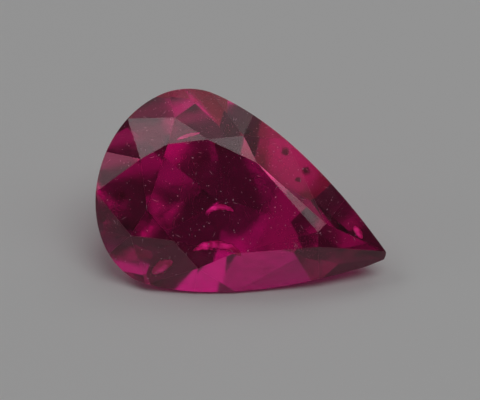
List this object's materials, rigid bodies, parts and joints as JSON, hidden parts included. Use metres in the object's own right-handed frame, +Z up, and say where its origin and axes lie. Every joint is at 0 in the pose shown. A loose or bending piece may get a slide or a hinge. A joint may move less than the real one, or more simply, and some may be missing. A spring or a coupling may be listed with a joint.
{
  "type": "pear-cut rubellite gemstone",
  "caption": "Teardrop-shaped faceted gemstone in deep magenta-red rubellite, lying on a flat of its pavilion with its table turned to the front.",
  "frame": {"origin": "on the floor under the middle of the stone's box, at the level of the pavilion flat it lies on", "axes": "+Z up; the table faces up and to the front, which is -Y; the tip points to +X"},
  "size_m": [0.0118, 0.006, 0.0062],
  "materials": {
    "rubellite": "polished, see-through magenta-red, with fine inclusions"
  },
  "bodies": {
    "root": {"gemstone": "rubellite"}
  },
  "joints": []
}
